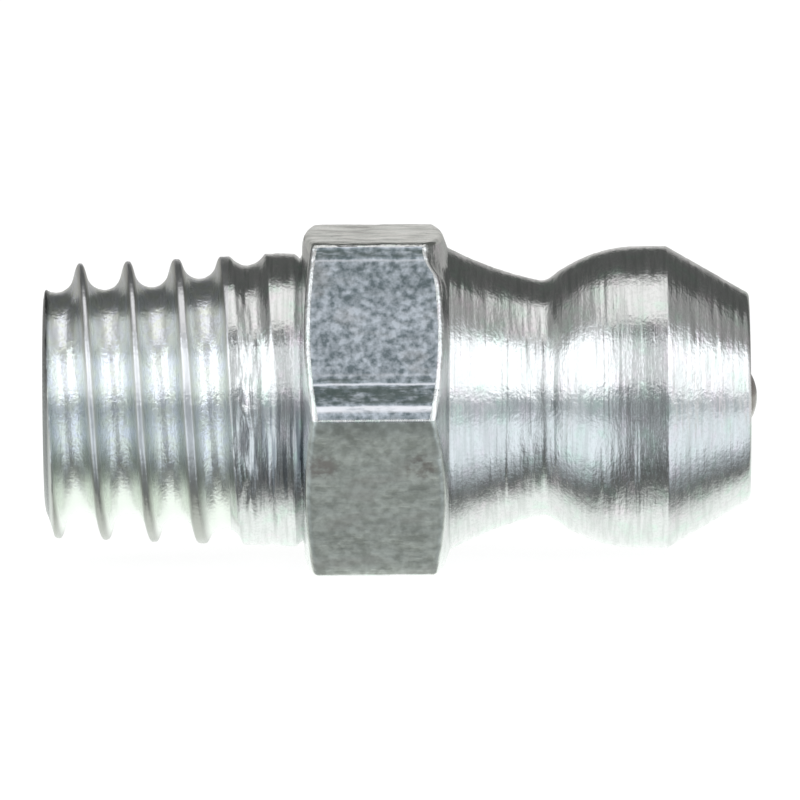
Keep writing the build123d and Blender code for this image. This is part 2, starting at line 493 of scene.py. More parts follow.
# Flats from the top round over the front. The top, bottom and upper back flats get a lit copy of the drawn
# plate, with painted light. The lower front and lower back flats get a darker copy, with painted shade. The
# lit copy is also smoother.
FLAT_SKINS = (
    LIT_COPY_FLAT_SKIN, LINED_FLAT_SKIN, SHADED_COPY_FLAT_SKIN, LIT_COPY_FLAT_SKIN, SHADED_COPY_FLAT_SKIN, LIT_COPY_FLAT_SKIN
)


class Skin:
    """One closed skin round the axis, grown ring by ring."""

    def __init__(self, turns):
        self.mesh = bmesh.new()
        self.turns = turns
        self.first = self.last = None

    def point(self, x, radius, turn):
        around = 2 * pi * turn
        return self.mesh.verts.new((x, -radius * sin(around), radius * cos(around)))

    def face(self, corners, skin):
        unique = list(dict.fromkeys(corners))
        if len(unique) > 2:
            self.mesh.faces.new(unique).material_index = skin

    def join(self, ring, skin):
        """Grows from the last ring to this one. skin is a material's number, or gives it from a turn."""
        if self.last is None:
            self.first = ring
        else:
            for b in range(len(ring)):
                a = b - 1
                middle = (self.turns[a] + self.turns[b]) / 2 if b else 0
                number = skin(middle) if callable(skin) else skin
                self.face((self.last[a], self.last[b], ring[b], ring[a]), number)
        self.last = ring

    def ring(self, x_at, radius_at, skin):
        """Adds one ring. x_at and radius_at give its points from their turns."""
        self.join([self.point(x_at(turn), radius_at(turn), turn) for turn in self.turns], skin)

    def plain_ring(self, x, radius, skin):
        self.ring(lambda turn: x, lambda turn: radius, skin)

    def turned_ring(self, x, radius, surface, depth=1):
        self.ring(lambda turn: x, lambda turn: turned_radius(x, radius, turn, surface, depth), TURNED_SKIN)

    def thread(self, start_x, end_x, surface, skin):
        """Adds the helical stretch, whose columns follow the groove and stop at two plain rings."""
        def on_thread(x, turn):
            return self.point(x, thread_radius(x, turn, surface), turn)

        start, end = [[on_thread(x, turn) for turn in self.turns] for x in (start_x, end_x)]
        self.join(start, skin)
        origin = GROOVE_FLOOR[0][0]
        first = floor((start_x - origin) / PITCH - 1.5)
        last = ceil((end_x - origin) / PITCH + 1.5)
        columns = [(number + part) * PITCH for number in range(first, last) for part in GROOVE_COLUMNS]
        sliver = 0.012 * PITCH
        rows = []
        for index, turn in enumerate(self.turns):
            row = []
            for column in columns:
                x = origin + column + turn * PITCH
                if x < start_x + sliver:
                    row.append(start[index])
                elif x > end_x - sliver:
                    row.append(end[index])
                else:
                    row.append(on_thread(x, turn))
            rows.append(row)
        rows.append(rows[0][len(GROOVE_COLUMNS):])  # the first row again, one pitch on
        for a, b in zip(rows, rows[1:]):
            for i in range(len(b) - 1):
                self.face((a[i], b[i], b[i + 1], a[i + 1]), skin)
        self.last = end

    def close(self, skin):
        """Joins the last ring to the first, and makes sure that no edge is left open."""
        self.join(self.first, skin)
        bmesh.ops.recalc_face_normals(self.mesh, faces=self.mesh.faces)
        open_edges = [edge for edge in self.mesh.edges if not edge.is_manifold]
        if open_edges:
            raise RuntimeError(f"the skin has {len(open_edges)} open edges")


def hexagon_rings(skin, surface):
    """Adds the hexagon: chamfer, worn edge, flats, worn edge, chamfer."""
    def edge_x(turn, side):
        """Where a chamfer would meet the flat if the edge were sharp. side is 0 for the thread side."""
        if side:
            knock = KNOCK_DEPTH * max(0, 1 - ((turn - KNOCK_TURN) / KNOCK_HALF) ** 2)
            return HEX_END_X - (hexagon_radius(turn) - NECK_START_R) * tan(HEAD_SIDE_CHAMFER) - knock
        return HEX_START_X + (hexagon_radius(turn) - SHOULDER_R) * tan(SHOULDER_CHAMFER)

    def chamfer_ring(side, part):
        inner_x, inner_r = ((HEX_START_X, SHOULDER_R), (HEX_END_X, NECK_START_R))[side]
        skin.ring(
            lambda turn: inner_x + part * (edge_x(turn, side) - inner_x),
            lambda turn: inner_r + part * (hexagon_radius(turn) - inner_r),
            TURNED_SKIN,
        )

    def edge_skin(turn):
        flat = flat_place(turn)[0]
        return TURNED_SKIN if flat == LINED_FLAT else FLAT_SKINS[flat]

    def worn_ring(side, part):
        lean = pi / 2 - (SHOULDER_CHAMFER, HEAD_SIDE_CHAMFER)[side]
        back = END_ROUND * (tan(lean / 2) - sin(part * lean))
        inwards = -1 if side else 1

        def radius_at(turn):
            stands_out = (1 - part) * flat_height(edge_x(turn, side), turn, surface)
            return hexagon_radius(turn) - END_ROUND * (1 - cos(part * lean)) + stands_out

        skin.ring(lambda turn: edge_x(turn, side) + inwards * back, radius_at, edge_skin)

    def flat_skin(turn):
        flat, place = flat_place(turn)
        if abs(place) > FLAT_HALF - CORNER_ROUND:
            return TURNED_SKIN
        return FLAT_SKINS[flat]

    skin.plain_ring(HEX_START_X, SHOULDER_R, TURNED_SKIN)
    for part in (0.3, 0.65):
        chamfer_ring(0, part)
    for part in (1, 0.7, 0.35, 0):
        worn_ring(0, part)
    chamfers = (SHOULDER_CHAMFER, HEAD_SIDE_CHAMFER)
    from_start, from_end = [END_ROUND * tan((pi / 2 - chamfer) / 2) for chamfer in chamfers]
    for part in spaced(0, 1, HEX_STEP)[1:]:
        def x_at(turn):
            start, end = edge_x(turn, 0) + from_start, edge_x(turn, 1) - from_end
            return start + part * (end - start)

        skin.ring(x_at, lambda turn: hexagon_radius(turn) + flat_height(x_at(turn), turn, surface), flat_skin)
    for part in (0.35, 0.7, 1):
        worn_ring(1, part)
    for part in (0.65, 0.3):
        chamfer_ring(1, part)


def tip_rings(skin, surface):
    """Adds the tip's face, and the worn bevel where the thread starts."""
    for radius in (LIP_R + HOLE_EDGE, *TIP_RADII, TIP_R - TIP_ROUND):
        dish = TIP_DISH * sin(radius / TIP_DISH_WIDTH)
        skin.plain_ring(TIP_X + TIP_SINK + dish, radius, TURNED_SKIN)
    for x in spaced(TIP_X, TIP_X + TIP_BEVEL, BEVEL_STEP)[:-1]:
        back = max(0, TIP_ROUND - (x - TIP_X))
        edge_r = TIP_R - TIP_ROUND + sqrt(TIP_ROUND**2 - back**2) + BEVEL_SLOPE * (TIP_ROUND - back)
        if back == 0:
            edge_r = along(BLANK, x)
        skin.ring(lambda turn: x, lambda turn: min(thread_radius(x, turn, surface), edge_r), THREAD_SKIN)


def thread_and_collar_rings(skin, surface):
    """Adds the rolled thread, its run-out, and the collar with its undercut."""
    skin.thread(TIP_X + TIP_BEVEL, LAST_CREST_X, surface, THREAD_SKIN)
    start_x = GROOVE_FLOOR[-1][0] + COLLAR_EDGE
    for x in spaced(LAST_CREST_X, start_x, RUN_OUT_STEP)[1:]:
        skin.ring(lambda turn: x, lambda turn: run_out_radius(x, turn, surface), TURNED_SKIN)
    collar = [(x, COLLAR_R) for x in spaced(start_x, COLLAR_END_X - COLLAR_EDGE, COLLAR_STEP)[1:]]
    collar += [
        (COLLAR_END_X, COLLAR_R - 0.3 * COLLAR_EDGE),
        (0.5 * (COLLAR_END_X + UNDERCUT[0]), 0.5 * (COLLAR_R + UNDERCUT[1]) + 0.2 * COLLAR_EDGE),
        UNDERCUT,
        (HEX_START_X, COLLAR_R),
        (HEX_START_X, 0.5 * (COLLAR_R + SHOULDER_R)),
    ]
    for x, radius in collar:
        skin.turned_ring(x, radius, surface, COLLAR_MARKS)


def neck_and_head_rings(skin, surface):
    """Adds the neck, ball head, land and nose cone."""
    parts = (HEX_END_X, HEAD_START[0], LAND_X, CONE_X, NOSE_X - NOSE_BEVEL)
    profile = [HEX_END_X]
    for start, end in zip(parts, parts[1:]):
        profile += spaced(start, end, HEAD_STEP)[1:]
    for x in profile:
        depth = LAND_MARKS if LAND_X < x < CONE_X else 1
        skin.turned_ring(x, neck_and_head_radius(x), surface, depth)


def nose_rings(skin):
    """Adds the rounded bevel round the nose, and its face up to the inlet."""
    nose_r = head_radius(NOSE_X) - NOSE_BEVEL / 2
    for x, radius in (
        (NOSE_X - 0.5 * NOSE_BEVEL, head_radius(NOSE_X - NOSE_BEVEL) - 0.28 * NOSE_BEVEL),
        (NOSE_X - 0.1 * NOSE_BEVEL, nose_r + 0.25 * NOSE_BEVEL),
        (NOSE_X, nose_r),
        *[(NOSE_X - dish, radius) for radius, dish in NOSE_RINGS],
        (NOSE_X, INLET_R + HOLE_EDGE),
    ):
        skin.plain_ring(x, radius, TURNED_SKIN)


def grease_way_rings(skin):
    """Adds the inlet, the cone for the ball, the bore, and the hole in the closed-in tip."""
    cone_apex_x = NOSE_X - INLET_LAND + INLET_R / tan(BALL_CONE)
    bore_end_x = cone_apex_x - BORE_R / tan(BALL_CONE)
    lip_x = TIP_X + LIP_LENGTH
    for x, radius in (
        (NOSE_X - INLET_EDGE_DEPTH, INLET_R),
        (NOSE_X - INLET_LAND, INLET_R),
        (0.5 * (NOSE_X - INLET_LAND + bore_end_x), 0.5 * (INLET_R + BORE_R)),
        *[(x, BORE_R) for x in spaced(bore_end_x, lip_x, BORE_STEP)],
        (lip_x, LIP_R),
        (TIP_X + LIP_EDGE_DEPTH, LIP_R),
    ):
        skin.plain_ring(x, radius, BORE_SKIN)


def body_skin(surface):
    """The whole turned body, from the tip's face over the outside to the nose, and back through the bore."""
    skin = Skin(round_stations())
    tip_rings(skin, surface)
    thread_and_collar_rings(skin, surface)
    hexagon_rings(skin, surface)
    neck_and_head_rings(skin, surface)
    nose_rings(skin)
    grease_way_rings(skin)
    skin.close(BORE_SKIN)
    return skin.mesh


# ---------------- ball and spring


def ball_shell(centre, radius):
    """The check ball, from the faces of a fine cube pushed out to the sphere, with a few shallow pits."""
    mesh = bmesh.new()
    bmesh.ops.create_cube(mesh, size=2)
    bmesh.ops.subdivide_edges(mesh, edges=mesh.edges, cuts=BALL_CUTS, use_grid_fill=True)
    for vertex in mesh.verts:
        direction = Vector([tan(pi / 4 * value) for value in vertex.co]).normalized()
        pit = max(0, noise.noise(direction * 9) - 0.45) * BALL_PIT
        vertex.co = centre + direction * (radius - pit)
    return mesh


def coil_path(start_x, end_x):
    """Points along the spring wire's middle, closed turns at both ends and open turns between."""
    open_turns = sum(turns for turns, pitch in COIL_TURNS if pitch is None)
    closed = sum(turns * pitch for turns, pitch in COIL_TURNS if pitch)
    open_pitch = (end_x - start_x - closed) / open_turns
    places, turn = [(start_x, 0.0)], 0.0
    for turns, pitch in COIL_TURNS:
        for _ in range(turns * COIL_STEPS):
            turn += 1 / COIL_STEPS
            places.append((places[-1][0] + (pitch or open_pitch) / COIL_STEPS, turn))
    return [Vector((x, -COIL_R * sin(2 * pi * turn), COIL_R * cos(2 * pi * turn))) for x, turn in places]


def wire_along(path, radius):
    """A round wire along a path round the x axis, with its two ends closed."""
    mesh = bmesh.new()
    rings = []
    for index, point in enumerate(path):
        after, before = path[min(index + 1, len(path) - 1)], path[max(index - 1, 0)]
        forward = (after - before).normalized()
        outward = Vector((0, point.y, point.z)).normalized()
        aside = forward.cross(outward).normalized()
        rings.append([])
        for i in range(WIRE_SIDES):
            around = 2 * pi * i / WIRE_SIDES
            rings[-1].append(mesh.verts.new(point + radius * (cos(around) * outward + sin(around) * aside)))
    for a, b in zip(rings, rings[1:]):
        for i in range(WIRE_SIDES):
            mesh.faces.new((a[i - 1], a[i], b[i], b[i - 1]))
    mesh.faces.new(rings[0])
    mesh.faces.new(rings[-1])
    bmesh.ops.recalc_face_normals(mesh, faces=mesh.faces)
    return mesh


# ---------------- materials


def add_node(tree, kind, inputs=None, **settings):
    """Adds a node. An input that is a socket is linked, and any other is a value."""
    node = tree.nodes.new(kind)
    for name, value in settings.items():
        setattr(node, name, value)
    for name, value in (inputs or {}).items():
        if isinstance(value, bpy.types.NodeSocket):
            tree.links.new(value, node.inputs[name])
        else:
            node.inputs[name].default_value = value
    return node


def cleared_tree(owner):
    """The empty node tree of a new material or world."""
    owner.use_nodes = True
    owner.node_tree.nodes.clear()
    return owner.node_tree


def vector_math(tree, operation, *values):
    """A node that works on vectors."""
    return add_node(tree, "ShaderNodeVectorMath", dict(enumerate(values)), operation=operation)


def worked_out(tree, operation, *values):
    """A number worked out from others."""
    return add_node(tree, "ShaderNodeMath", dict(enumerate(values)), operation=operation).outputs[0]


def stretched_noise(tree, place, grain_mm, detail=2.0, roughness=0.5, shift=0.0):
    """Noise in the piece's own space whose grains have these lengths along x, y and z, in millimetres."""
    scale = [1 / (MM * length) for length in grain_mm]
    scaled = vector_math(tree, "MULTIPLY_ADD", place, scale, (shift, shift, shift)).outputs[0]
    inputs = {"Vector": scaled, "Scale": 1.0, "Detail": detail, "Roughness": roughness}
    return add_node(tree, "ShaderNodeTexNoise", inputs).outputs["Fac"]


def spread(tree, value, low, high, to_low=0, to_high=1, way="LINEAR"):
    """Maps value from low..high to to_low..to_high, and keeps it there."""
    inputs = {"Value": value, "From Min": low, "From Max": high, "To Min": to_low, "To Max": to_high}
    return add_node(tree, "ShaderNodeMapRange", inputs, interpolation_type=way).outputs["Result"]


def mixed(tree, factor, a, b):
    """Colour between a and b."""
    node = add_node(tree, "ShaderNodeMix", {"Factor": factor}, data_type="RGBA")
    colour_a, colour_b = [socket for socket in node.inputs if socket.type == "RGBA"]
    for socket, value in ((colour_a, a), (colour_b, b)):
        if isinstance(value, bpy.types.NodeSocket):
            tree.links.new(value, socket)
        else:
            socket.default_value = (*value, 1)
    return next(socket for socket in node.outputs if socket.type == "RGBA")


def ramped(tree, factor, stops):
    """A colour that runs through stops as factor goes up. Each stop is a place from 0 to 1 and a colour."""
    ramp = add_node(tree, "ShaderNodeValToRGB", {"Fac": factor})
    elements = ramp.color_ramp.elements
    while len(elements) < len(stops):
        elements.new(0.5)
    for element, (place, _) in zip(elements, stops):
        element.position = place
    for element, (_, tone) in zip(elements, stops):
        element.color = (*tone, 1)
    return ramp.outputs["Color"]


def patch(tree, place, centre, reach):
    """1 at a place on the piece, falling to 0 this far from it."""
    away = vector_math(tree, "DISTANCE", place, centre).outputs["Value"]
    return spread(tree, away, 0.4 * reach, reach, 1, 0, "SMOOTHSTEP")


def bumped(tree, height, distance, normal=None):
    """The surface's normal after a bump, over an earlier bump's normal if there is one."""
    inputs = {"Height": height, "Distance": distance, "Strength": 1.0}
    if normal is not None:
        inputs["Normal"] = normal
    return add_node(tree, "ShaderNodeBump", inputs).outputs["Normal"]


def metal(name):
    """A bare metal material: its tree, its shader, and the place that its textures go by."""
    material = bpy.data.materials.new(name)
    tree = cleared_tree(material)
    shader = add_node(tree, "ShaderNodeBsdfPrincipled", {"Metallic": 1.0})
    add_node(tree, "ShaderNodeOutputMaterial", {"Surface": shader.outputs["BSDF"]})
    place = tree.nodes.new("ShaderNodeTexCoord").outputs["Object"]
    return material, tree, shader, place


def ring_marked_metal(name, anisotropy):
    """A bare metal material whose gloss is stretched along the axis by tool marks that run round it."""
    material, tree, shader, place = metal(name)
    round_axis = add_node(tree, "ShaderNodeTangent", direction_type="RADIAL", axis="X").outputs[0]
    tree.links.new(round_axis, shader.inputs["Tangent"])
    shader.inputs["Anisotropic"].default_value = anisotropy
    shader.inputs["Anisotropic Rotation"].default_value = 0.25
    return material, tree, shader, place


def coat(tree, shader, tint, roughness, normal):
    """Gives a metal its colour, roughness and normal."""
    for name, socket in (("Base Color", tint), ("Roughness", roughness), ("Normal", normal)):
        tree.links.new(socket, shader.inputs[name])


def tinted_plate(tree, place, finish):
    """Zinc with soft pink and green patches."""
    tint = stretched_noise(tree, place, (0.5, 0.6, 0.6), roughness=0.6, shift=11.0)
    pink = mixed(tree, spread(tree, tint, 0.55, 0.68), finish.zinc, finish.zinc_pink)
    return mixed(tree, spread(tree, tint, 0.46, 0.34), pink, finish.zinc_green)


def marked_normal(tree, place, ring_mm, ring_bump_mm, speck_bump_mm):
    """Fine rings cut round the axis, over specks in the plate."""
    rings = stretched_noise(tree, place, (ring_mm, 1.3, 1.3))
    scratches = stretched_noise(tree, place, (0.7 * ring_mm, 0.35, 0.35), shift=23.0)
    specks = stretched_noise(tree, place, (0.06, 0.09, 0.09), roughness=0.55, shift=17.0)
    normal = bumped(tree, specks, speck_bump_mm * MM)
    normal = bumped(tree, scratches, 0.7 * ring_bump_mm * MM, normal)
    return bumped(tree, rings, ring_bump_mm * MM, normal), rings, specks


def turned_zinc(finish):
    """Zinc plate on turned steel, with shade painted low on the front of the collar by the hexagon."""
    material, tree, shader, place = ring_marked_metal("zinc_on_turned_steel", 0.4)
    normal, rings, specks = marked_normal(tree, place, 0.085, 0.007, 0.006)
    bands = stretched_noise(tree, place, (0.22, 2.0, 2.0), shift=5.0)
    plate = tinted_plate(tree, place, finish)
    dull = mixed(tree, spread(tree, rings, 0.35, 0.55, 0.7, 0), plate, finish.dull_zinc)
    spotted = mixed(tree, spread(tree, specks, 0.38, 0.5, 0.35, 0), dull, finish.dull_zinc)
    streaks = spread(tree, rings, 0.36, 0.58, 1, 0.15)
    # Painted shade low on the collar's front by the hexagon, broken up by the turning marks.
    collar_shade_part = worked_out(tree, "MULTIPLY", patch(tree, place, COLLAR_SHADE_SPOT, COLLAR_SHADE_REACH), streaks)
    roughness = spread(tree, bands, 0.35, 0.68, 0.14, 0.27)
    coat(tree, shader, mixed(tree, collar_shade_part, spotted, finish.painted_collar_shade), roughness, normal)
    return material


def rolled_zinc(finish):
    """Zinc plate on the thread, bright on the groove's floor and worn on the crests, with painted shade on
    its flanks and, underneath, painted shade on crests and flanks and a greener painted reflection on the
    floor.
    """
    material, tree, shader, place = ring_marked_metal("zinc_on_rolled_thread", 0.75)
    normal, _, specks = marked_normal(tree, place, 0.10, 0.009, 0.009)
    axes = add_node(tree, "ShaderNodeSeparateXYZ", {"Vector": place}).outputs
    across = add_node(tree, "ShaderNodeCombineXYZ", {"Y": axes["Y"], "Z": axes["Z"]}).outputs[0]
    radius = vector_math(tree, "LENGTH", across).outputs["Value"]
    (start_x, start_r), (end_x, end_r) = BLANK[1:3]
    crest_r = spread(tree, axes["X"], start_x, end_x, start_r, end_r)
    below_crest = worked_out(tree, "SUBTRACT", crest_r, radius)
    on_crest = spread(tree, below_crest, 0.01 * MM, 0.035 * MM, 1, 0)
    on_floor = spread(tree, below_crest, 0.06 * MM, 0.24 * MM)
    tint = stretched_noise(tree, place, (0.25, 0.3, 0.3), roughness=0.6, shift=41.0)
    plate = mixed(tree, spread(tree, tint, 0.4, 0.6), finish.floor_green, finish.floor_blue)
    spotted = mixed(tree, spread(tree, specks, 0.34, 0.48, 0.4, 0), plate, finish.dull_zinc)
    # Painted light underneath: shade on the crests and flanks, and a greener reflection on the floor.
    underneath = spread(tree, axes["Z"], -0.5 * MM, -1.9 * MM)
    floor_plate = mixed(tree, underneath, spotted, finish.painted_under_tint)
    # Painted shade on the flanks, and on the crests underneath.
    shaded_flank = mixed(tree, underneath, finish.painted_flank_shade, finish.painted_under_shade)
    crest_plate = mixed(tree, underneath, finish.crest_zinc, finish.painted_under_shade)
    flank_or_floor = mixed(tree, on_floor, shaded_flank, floor_plate)
    whole_plate = mixed(tree, on_crest, flank_or_floor, crest_plate)
    # The tip's edge is coloured dark all round.
    at_tip = spread(tree, axes["X"], TIP_X + 0.09 * MM, TIP_X + 0.16 * MM, 1, 0)
    roughness = spread(tree, on_floor, 0, 1, 0.34, 0.27)
    coat(tree, shader, mixed(tree, at_tip, whole_plate, finish.tip_zinc), roughness, normal)
    return material


def drawn_zinc(name, finish, dark, light, grain_mm, smooth, rough):
    """Zinc plate over the pitted skin of drawn bar, on the hexagon's flats."""
    material, tree, shader, place = metal(name)
    pits = stretched_noise(tree, place, (grain_mm, grain_mm, grain_mm), roughness=0.55)
    clouds = stretched_noise(tree, place, (0.9, 0.6, 0.6), shift=7.0)
    drawn = stretched_noise(tree, place, (0.9, 0.06, 0.06), roughness=0.6, shift=13.0)
    speckled = mixed(tree, spread(tree, pits, 0.34, 0.66), dark, light)
    stained = mixed(tree, spread(tree, clouds, 0.55, 0.68, 0, 0.35), speckled, finish.flat_stain)
    for centre in STAINS:
        in_pits = spread(tree, pits, 0.4, 0.6, 0.9, 0.2)
        stain = worked_out(tree, "MULTIPLY", patch(tree, place, centre, STAIN_REACH), in_pits)
        stained = mixed(tree, stain, stained, finish.flat_stain)
    roughness = spread(tree, clouds, 0.35, 0.65, smooth, rough)
    coat(tree, shader, stained, roughness, bumped(tree, pits, PIT_BUMP, bumped(tree, drawn, DRAWN_BUMP)))
    return material


def lined_zinc(name, finish):
    """The drawn flat with the relief of its lines, whose plate carries painted highlights on the ridges
    between the lines and painted shade in them.
    """
    material = drawn_zinc(name, finish, finish.lined_dark, finish.lined_zinc, 0.16, 0.34, 0.44)
    tree = material.node_tree
    shader = next(node for node in tree.nodes if node.type == "BSDF_PRINCIPLED")
    place = tree.nodes.new("ShaderNodeTexCoord").outputs["Object"]
    wander = stretched_noise(tree, place, (0.5, 9.0, 9.0), shift=29.0)
    broken = stretched_noise(tree, place, (0.45, 0.12, 0.12), detail=3.0, roughness=0.6, shift=37.0)
    lean = 2 * pi * LINED_FLAT / 6
    down = (0, -cos(lean), -sin(lean))
    across = vector_math(tree, "DOT_PRODUCT", place, down).outputs["Value"]
    moved = worked_out(tree, "ADD", across, spread(tree, wander, 0.3, 0.7, -LINE_WANDER, LINE_WANDER))
    first, last = DRAWN_LINES[0][0], DRAWN_LINES[-1][0]
    stops = [((line - first) / (last - first), (tone, tone, tone)) for line, _, tone in DRAWN_LINES]
    # Painted highlight and painted shade along the lines, from their tones.
    tone = ramped(tree, spread(tree, moved, first, last), stops)
    broken_shade = spread(tree, broken, 0.36, 0.55, 0.1, 1)
    broken_highlight = spread(tree, broken, 0.3, 0.45, 0.55, 1)
    shade_part = worked_out(tree, "MULTIPLY", broken_shade, spread(tree, tone, 0.5, 0))
    highlight_part = worked_out(tree, "MULTIPLY", broken_highlight, spread(tree, tone, 0.5, 1))
    plate = shader.inputs["Base Color"].links[0].from_socket
    shaded = mixed(tree, shade_part, plate, finish.line_shade)
    tree.links.new(mixed(tree, highlight_part, shaded, finish.ridge_highlight), shader.inputs["Base Color"])
    return material


def plain_steel(name, steel, grain_mm, smooth, rough, bump_mm):
    """Bare steel with fine marks."""
    material, tree, shader, place = metal(name)
    marks = stretched_noise(tree, place, grain_mm, detail=3.0, roughness=0.6)
    stain = stretched_noise(tree, place, (0.5, 0.5, 0.5), shift=3.0)
    stained = tuple(0.55 * channel for channel in steel)
    tint = mixed(tree, spread(tree, stain, 0.35, 0.65), stained, steel)
    roughness = spread(tree, marks, 0.3, 0.7, smooth, rough)
    coat(tree, shader, tint, roughness, bumped(tree, marks, bump_mm * MM))
    return material


def linked_object(name, mesh, materials):
    """Makes an object of the scene from a finished bmesh."""
    data = bpy.data.meshes.new(name)
    mesh.to_mesh(data)
    mesh.free()
    for material in materials:
        data.materials.append(material)
    made = bpy.data.objects.new(name, data)
    bpy.context.scene.collection.objects.link(made)
    return made


def make_piece(name, mesh, materials, body, node):
    """Makes a smooth piece that rides on a body and stands for a node of the frame."""
    piece = linked_object(name, mesh, materials)
    piece.data.polygons.foreach_set("use_smooth", [True] * len(piece.data.polygons))
    piece.data.set_sharp_from_angle(angle=SHARP_ANGLE)
    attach(piece, body)
    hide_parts(node)
    return piece


# ---------------- studio

# What the metal reflects: panels of soft light round the nipple's axis. Angles are in degrees, with 0 level
# on the camera's side, 90 overhead, -90 straight down and 180 level behind. "Aside" is how far a direction
# leans towards the nipple's two ends, 0 for square to the axis and 1 for along it. Each edge of a panel is
# given square to the axis and along it, softness at the low and at the high edge, glow at ASIDE_PLACES.
ASIDE_PLACES = (0, 0.25, 0.5, 1)
WALL_FOOT = (-174.5, -174.5)
Panel = namedtuple("Panel", "low_edge high_edge softness glow tone")
PANELS = {
    "table below": Panel(WALL_FOOT, (-74, -134), (3, 46), (1.1, 1.05, 0.95, 0.6), (0.96, 1.0, 0.97)),
    "wall's foot": Panel((-260, -260), WALL_FOOT, (8, 3), (0.5, 0.3, 0.35, 0.4), (1.0, 0.98, 0.96)),
    "wall behind": Panel((166, 166), (260, 260), (8, 8), (0.6, 0.3, 0.35, 0.4), (1.0, 0.98, 0.96)),
    "low front": Panel((-28, -80), (-12, -16), (22, 18), (0.05, 0.26, 0.6, 0.54), (0.92, 0.99, 1.04)),
    "front fill": Panel((-41, -107), (54, 84), (36, 20), (0.12, 0.28, 0.46, 0.44), (0.89, 0.985, 1.06)),
    "high front": Panel((14.5, 8), (50, 76), (12, 14), (0.38, 0.82, 1.15, 1.0), (0.99, 0.99, 1.0)),
    "overhead": Panel((66, 62), (108, 124), (14, 14), (1.05, 0.95, 0.36, 0.1), (1.0, 0.99, 0.98)),
}
ROOM = (0.106, 0.109, 0.105)  # what the room adds everywhere
TO_ENDS = (0.85, 0.85, 0.85)  # glow along the nipple's axis itself


def panel_light(tree, angle_round, aside, panel):
    """The light of one panel in every direction."""
    glows = [[glow * channel for channel in panel.tone] for glow in panel.glow]
    light = ramped(tree, aside, list(zip(ASIDE_PLACES, glows)))
    for (square_on, along_axis), softness in (
        (panel.low_edge, panel.softness[0]),
        (panel.high_edge, -panel.softness[1]),
    ):
        edge = spread(tree, aside, 0, 1, square_on, along_axis)
        past = worked_out(tree, "SUBTRACT", angle_round, edge)
        inside = spread(tree, past, -softness / 2, softness / 2, way="SMOOTHSTEP")
        scaling = {0: light, "Scale": inside}
        light = add_node(tree, "ShaderNodeVectorMath", scaling, operation="SCALE").outputs[0]
    return light


def studio_light(scene):
    """Soft light all round the nipple, and plain white behind it."""
    world = bpy.data.worlds.new("soft_studio")
    scene.world = world
    tree = cleared_tree(world)
    direction = tree.nodes.new("ShaderNodeTexCoord").outputs["Generated"]
    axes = add_node(tree, "ShaderNodeSeparateXYZ", {"Vector": direction}).outputs
    front = worked_out(tree, "MULTIPLY", axes["Y"], -1.0)
    angle_round = worked_out(tree, "DEGREES", worked_out(tree, "ARCTAN2", axes["Z"], front))
    aside = worked_out(tree, "ABSOLUTE", axes["X"])
    light = ROOM
    for panel in PANELS.values():
        lit = panel_light(tree, angle_round, aside, panel)
        light = vector_math(tree, "ADD", light, lit).outputs[0]
    light = mixed(tree, spread(tree, aside, 0.86, 0.98), light, TO_ENDS)
    seen = add_node(tree, "ShaderNodeBackground", {"Color": light, "Strength": 1.0})
    plain = add_node(tree, "ShaderNodeBackground", {"Color": (1, 1, 1, 1), "Strength": 1.1})
    by_camera = tree.nodes.new("ShaderNodeLightPath").outputs["Is Camera Ray"]
    both = add_node(tree, "ShaderNodeMixShader", {0: by_camera, 1: seen.outputs[0], 2: plain.outputs[0]})
    add_node(tree, "ShaderNodeOutputWorld", {"Surface": both.outputs[0]})


def lit_table(studio):
    """A pale table top that glows evenly, as a light table does."""
    material = bpy.data.materials.new("pale_table")
    tree = cleared_tree(material)
    grey = studio.table_grey
    paint = add_node(tree, "ShaderNodeBsdfDiffuse", {"Color": (grey, grey, grey, 1)})
    glow = add_node(tree, "ShaderNodeEmission", {"Color": (1, 1, 1, 1), "Strength": studio.table_glow})
    both = add_node(tree, "ShaderNodeAddShader", {0: paint.outputs[0], 1: glow.outputs[0]})
    add_node(tree, "ShaderNodeOutputMaterial", {"Surface": both.outputs[0]})
    return material


def table_top(studio):
    """The table under the nipple, wide enough to fill any picture of it."""
    mesh = bmesh.new()
    height = cad_box[0].z - TABLE_GAP
    corners = [(TABLE_HALF * x, TABLE_HALF * y, height) for x, y in ((-1, -1), (1, -1), (1, 1), (-1, 1))]
    mesh.faces.new([mesh.verts.new(corner) for corner in corners])
    table = linked_object("table", mesh, [lit_table(studio)])
    table.visible_glossy = False
    return table


def long_camera(studio):
    """A camera with a long lens, which looks down a little at the nipple's side."""
    camera = bpy.data.objects.new("camera", bpy.data.cameras.new("camera"))
    back = Vector((0, -cos(studio.elevation), sin(studio.elevation)))
    camera.location = Vector((studio.look_x, 0, studio.look_z)) + studio.distance * back
    camera.rotation_mode = "QUATERNION"
    camera.rotation_quaternion = (-back).to_track_quat("-Z", "Y") @ Quaternion((0, 0, 1), -studio.roll)
    camera.data.lens = camera.data.sensor_width * studio.distance / studio.picture_scale
    camera.data.clip_start, camera.data.clip_end = CLIP
    return camera


# ---------------- operators


